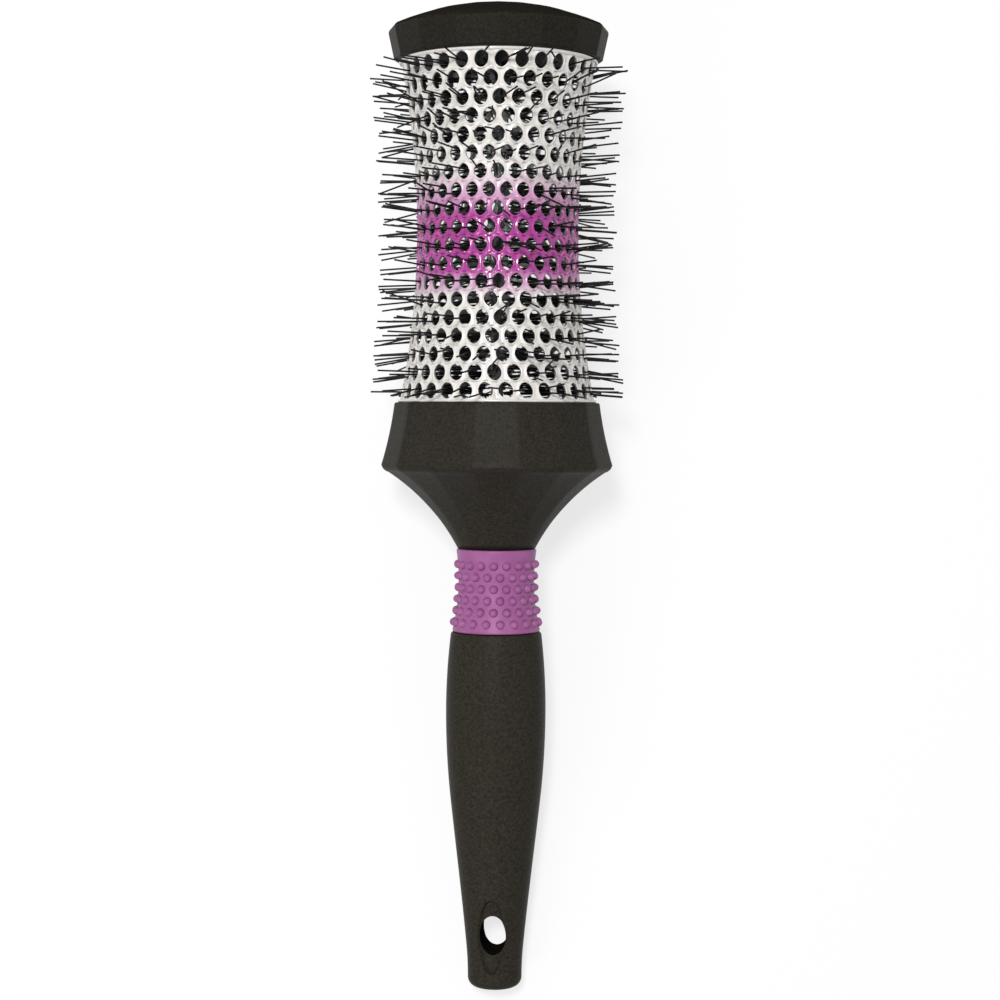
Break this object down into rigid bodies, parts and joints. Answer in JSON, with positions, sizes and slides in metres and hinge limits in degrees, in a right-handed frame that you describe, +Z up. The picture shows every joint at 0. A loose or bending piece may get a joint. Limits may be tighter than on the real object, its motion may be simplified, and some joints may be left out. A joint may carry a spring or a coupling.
{
  "type": "round hair brush",
  "caption": "Round barrel hair brush: perforated metal hourglass barrel with nylon bristles, faceted cap and shoulder, nubbed neck sleeve and tapered handle with a hanging hole.",
  "frame": {"origin": "on the surface the brush lies on, below the middle of its outline box", "axes": "+Y towards the head and cap, +Z up from the surface, +X across the brush; the brush lies at rest on its butt and on the shoulder's edge with the lowest bristles, so its own axis rises towards +Y"},
  "size_m": [0.0724, 0.2676, 0.0844],
  "materials": {
    "cap_and_shoulder": "soft-touch, dark brown-black, finely mottled",
    "hub_plastic": "plain moulded black",
    "barrel_coat": "warm white pearly ceramic coat with a magenta band at the waist, on aluminium",
    "core_wire": "bare drawn steel wire",
    "bristle_nylon": "black nylon filament, slight sheen",
    "sleeve_rubber": "matte purple rubber",
    "handle_soft_touch": "soft-touch, dark olive black, finely mottled"
  },
  "bodies": {
    "root": {"tip_cap": "cap_and_shoulder", "tip_plug": "hub_plastic", "barrel": "barrel_coat", "core_wire_a": "core_wire", "core_wire_b": "core_wire", "barrel_seat": "hub_plastic", "shoulder": "cap_and_shoulder", "neck_sleeve": "sleeve_rubber", "handle": "handle_soft_touch", "bristle_row_01": "bristle_nylon", "bristle_row_02": "bristle_nylon", "bristle_row_03": "bristle_nylon", "bristle_row_04": "bristle_nylon", "bristle_row_05": "bristle_nylon", "bristle_row_06": "bristle_nylon", "bristle_row_07": "bristle_nylon", "bristle_row_08": "bristle_nylon", "bristle_row_09": "bristle_nylon", "bristle_row_10": "bristle_nylon", "bristle_row_11": "bristle_nylon", "bristle_row_12": "bristle_nylon", "bristle_row_13": "bristle_nylon", "bristle_row_14": "bristle_nylon", "bristle_row_15": "bristle_nylon", "bristle_row_16": "bristle_nylon", "bristle_row_17": "bristle_nylon", "bristle_row_18": "bristle_nylon", "bristle_row_19": "bristle_nylon"}
  },
  "joints": []
}
